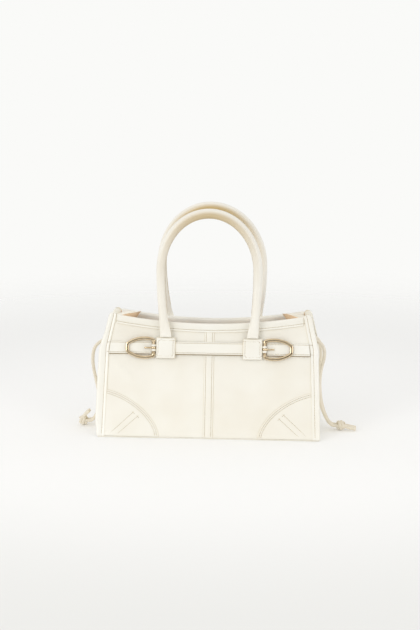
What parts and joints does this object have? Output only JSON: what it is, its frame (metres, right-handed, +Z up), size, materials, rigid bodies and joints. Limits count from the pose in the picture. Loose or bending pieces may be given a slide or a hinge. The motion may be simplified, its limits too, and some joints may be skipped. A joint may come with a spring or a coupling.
{
  "type": "top handle bag",
  "caption": "Structured satchel bag with a dipped open mouth, rolled swinging handles, a buckled belt across the front and a knotted side drawstring.",
  "frame": {"origin": "middle of the base's underside, on the surface the bag stands on", "axes": "+X to the right seen from the front, -Y out of the front with the buckles, +Z up"},
  "size_m": [0.3827, 0.1218, 0.3118],
  "materials": {
    "body_leather": "smooth ivory coated leather, semi-gloss",
    "trim_leather": "smooth ivory coated leather, semi-gloss, stitched",
    "handle_leather": "rolled ivory coated leather, semi-gloss",
    "lining": "tan woven lining",
    "cord": "round ivory coated cord",
    "filler": "foam filler",
    "board": "stiffener board",
    "hardware": "polished pale gold plating"
  },
  "bodies": {
    "bag": {"base_panel": "body_leather", "base_board": "board", "base_lining": "lining", "front_panel": "body_leather", "rear_panel": "body_leather", "front_lining": "lining", "rear_lining": "lining", "left_gusset": "body_leather", "right_gusset": "body_leather", "left_gusset_lining": "lining", "right_gusset_lining": "lining", "front_top_binding": "trim_leather", "rear_top_binding": "trim_leather", "front_left_binding": "trim_leather", "front_right_binding": "trim_leather", "rear_left_binding": "trim_leather", "rear_right_binding": "trim_leather", "front_centre_strip": "trim_leather", "rear_centre_strip": "trim_leather", "front_left_corner_patch": "trim_leather", "front_right_corner_patch": "trim_leather", "rear_left_corner_patch": "trim_leather", "rear_right_corner_patch": "trim_leather", "front_belt": "trim_leather", "rear_belt": "trim_leather", "left_end_strap": "trim_leather", "right_end_strap": "trim_leather", "left_buckle_loop": "trim_leather", "right_buckle_loop": "trim_leather", "front_left_tab": "handle_leather", "front_right_tab": "handle_leather", "rear_left_tab": "handle_leather", "rear_right_tab": "handle_leather", "left_eyelets": "hardware", "right_eyelets": "hardware", "left_inner_cord": "cord", "right_inner_cord": "cord", "left_front_cord": "cord", "left_rear_cord": "cord", "right_front_cord": "cord", "right_rear_cord": "cord", "left_knot": "cord", "right_knot": "cord", "slip_pocket": "lining", "front_snap": "hardware", "rear_snap": "hardware"},
    "front_handle": {"front_handle_cover": "handle_leather", "front_handle_core": "filler", "front_handle_ends": "handle_leather"},
    "rear_handle": {"rear_handle_cover": "handle_leather", "rear_handle_core": "filler", "rear_handle_ends": "handle_leather"},
    "left_buckle_frame": {"left_buckle": "hardware"},
    "right_buckle_frame": {"right_buckle": "hardware"},
    "left_buckle_prong": {"left_prong": "hardware"},
    "right_buckle_prong": {"right_prong": "hardware"}
  },
  "joints": [
    {"name": "front_handle_swing", "type": "hinge", "parent": "bag", "child": "front_handle", "pos_m": [0, -0.03444, 0.13605], "axis": [1, 0, 0], "range_deg": [-2.5, 125]},
    {"name": "rear_handle_swing", "type": "hinge", "parent": "bag", "child": "rear_handle", "pos_m": [0, 0.03444, 0.13605], "axis": [-1, 0, 0], "range_deg": [-2.5, 125]},
    {"name": "left_buckle_swing", "type": "hinge", "parent": "bag", "child": "left_buckle_frame", "pos_m": [-0.0745, -0.0364, 0.11874], "axis": [0, 0.227, 0.9739], "range_deg": [0, 95]},
    {"name": "right_buckle_swing", "type": "hinge", "parent": "bag", "child": "right_buckle_frame", "pos_m": [0.0745, -0.0364, 0.11874], "axis": [0, -0.227, -0.9739], "range_deg": [0, 95]},
    {"name": "left_prong_swing", "type": "hinge", "parent": "bag", "child": "left_buckle_prong", "pos_m": [-0.0745, -0.0364, 0.11874], "axis": [0, 0.227, 0.9739], "range_deg": [0, 95]},
    {"name": "right_prong_swing", "type": "hinge", "parent": "bag", "child": "right_buckle_prong", "pos_m": [0.0745, -0.0364, 0.11874], "axis": [0, -0.227, -0.9739], "range_deg": [0, 95]}
  ]
}
